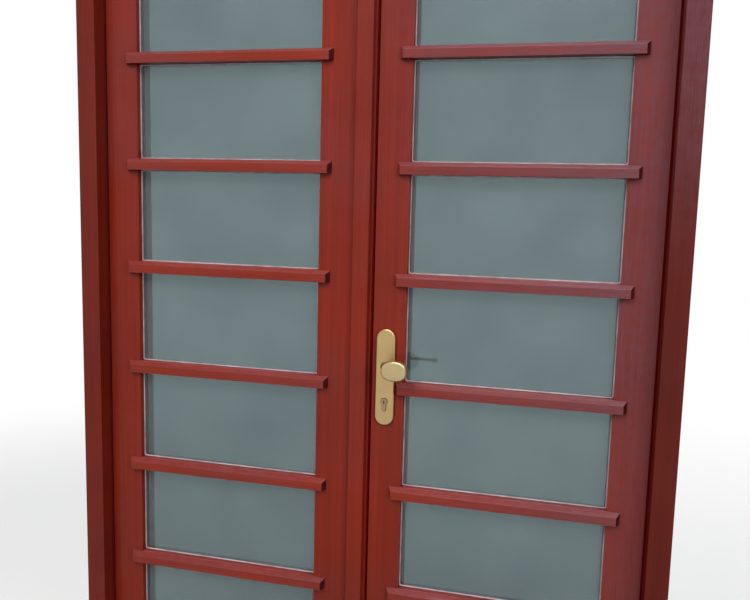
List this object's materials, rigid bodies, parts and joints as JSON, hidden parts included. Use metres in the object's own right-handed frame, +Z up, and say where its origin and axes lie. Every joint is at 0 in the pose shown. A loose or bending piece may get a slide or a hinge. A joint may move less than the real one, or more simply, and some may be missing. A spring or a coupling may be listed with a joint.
{
  "type": "french doors",
  "caption": "Inward-opening pair of glazed wooden doors in a rebated frame, with bars across the glass, a cover strip, an outer knob and an inner lever that works the bolts.",
  "frame": {"origin": "middle of the sill's underside", "axes": "+X to the right seen from outdoors, +Y into the house, +Z up"},
  "size_m": [1.5, 0.191, 2.2],
  "materials": {
    "frame_paint": "glossy red-brown paint",
    "leaf_paint": "glossy red-brown paint",
    "glass": "clear",
    "spacer_metal": "satin",
    "sealant": "smooth",
    "gasket": "matt",
    "hinge_steel": "nickel plated",
    "lock_steel": "zinc plated",
    "gold_aluminium": "champagne-gold anodised, satin",
    "cylinder_brass": "satin"
  },
  "bodies": {
    "frame": {"frame_left_jamb": "frame_paint", "frame_right_jamb": "frame_paint", "frame_head": "frame_paint", "frame_sill": "frame_paint", "frame_head_backing": "frame_paint", "frame_sill_backing": "frame_paint", "frame_gasket": "gasket", "head_keep": "lock_steel", "sill_keep": "lock_steel", "left_hinge_frame_halves": "hinge_steel", "right_hinge_frame_halves": "hinge_steel"},
    "left_leaf": {"left_hinge_stile": "leaf_paint", "left_meeting_stile": "leaf_paint", "left_top_rail": "leaf_paint", "left_bottom_rail": "leaf_paint", "left_cover_strip": "leaf_paint", "left_outer_pane": "glass", "left_inner_pane": "glass", "left_glass_spacer": "spacer_metal", "left_glazing_beads": "leaf_paint", "left_sealant": "sealant", "left_hinge_leaf_halves": "hinge_steel", "left_bolt_keep": "lock_steel", "left_edge_bolt_plates": "lock_steel", "left_bars": "leaf_paint"},
    "right_leaf": {"right_hinge_stile": "leaf_paint", "right_meeting_stile": "leaf_paint", "right_top_rail": "leaf_paint", "right_bottom_rail": "leaf_paint", "right_outer_pane": "glass", "right_inner_pane": "glass", "right_glass_spacer": "spacer_metal", "right_glazing_beads": "leaf_paint", "right_sealant": "sealant", "right_hinge_leaf_halves": "hinge_steel", "gear_case": "lock_steel", "outer_plate": "gold_aluminium", "inner_plate": "gold_aluminium", "plate_screws": "gold_aluminium", "knob": "gold_aluminium", "lock_cylinder": "cylinder_brass", "right_bars": "leaf_paint"},
    "top_edge_bolt": {"left_top_edge_bolt": "lock_steel"},
    "bottom_edge_bolt": {"left_bottom_edge_bolt": "lock_steel"},
    "lever": {"lever": "gold_aluminium", "spindle": "lock_steel", "follower": "lock_steel"},
    "centre_bolt": {"centre_bolt": "lock_steel"},
    "top_rod": {"top_rod": "lock_steel"},
    "bottom_rod": {"bottom_rod": "lock_steel"},
    "outer_plug": {"outer_plug": "cylinder_brass"},
    "inner_plug": {"inner_plug": "cylinder_brass"}
  },
  "joints": [
    {"name": "left_leaf_hinge", "type": "hinge", "parent": "frame", "child": "left_leaf", "pos_m": [-0.727, 0.057, 1.1], "axis": [0, 0, 1], "range_deg": [0, 100]},
    {"name": "right_leaf_hinge", "type": "hinge", "parent": "frame", "child": "right_leaf", "pos_m": [0.727, 0.057, 1.1], "axis": [0, 0, -1], "range_deg": [0, 100]},
    {"name": "lever_turn", "type": "hinge", "parent": "right_leaf", "child": "lever", "pos_m": [0.06725, 0.115, 1.056], "axis": [0, 1, 0], "range_deg": [0, 90]},
    {"name": "centre_bolt_slide", "type": "slide", "parent": "right_leaf", "child": "centre_bolt", "axis": [-1, 0, 0], "range_m": [0, 0.02]},
    {"name": "top_rod_slide", "type": "slide", "parent": "right_leaf", "child": "top_rod", "axis": [0, 0, 1], "range_m": [0, 0.018]},
    {"name": "bottom_rod_slide", "type": "slide", "parent": "right_leaf", "child": "bottom_rod", "axis": [0, 0, -1], "range_m": [0, 0.018]},
    {"name": "top_edge_bolt_slide", "type": "slide", "parent": "left_leaf", "child": "top_edge_bolt", "axis": [0, 0, 1], "range_m": [0, 0.018]},
    {"name": "bottom_edge_bolt_slide", "type": "slide", "parent": "left_leaf", "child": "bottom_edge_bolt", "axis": [0, 0, -1], "range_m": [0, 0.018]},
    {"name": "outer_plug_turn", "type": "hinge", "parent": "right_leaf", "child": "outer_plug", "pos_m": [0.06725, -0.013, 0.968], "axis": [0, 1, 0], "continuous": true},
    {"name": "inner_plug_turn", "type": "hinge", "parent": "right_leaf", "child": "inner_plug", "pos_m": [0.06725, 0.077, 0.968], "axis": [0, 1, 0], "continuous": true}
  ],
  "couplings": [
    {"joint": "centre_bolt_slide", "follows": "lever_turn", "m_per_rad": 0.012732},
    {"joint": "top_rod_slide", "follows": "lever_turn", "m_per_rad": 0.011459},
    {"joint": "bottom_rod_slide", "follows": "lever_turn", "m_per_rad": 0.011459}
  ]
}
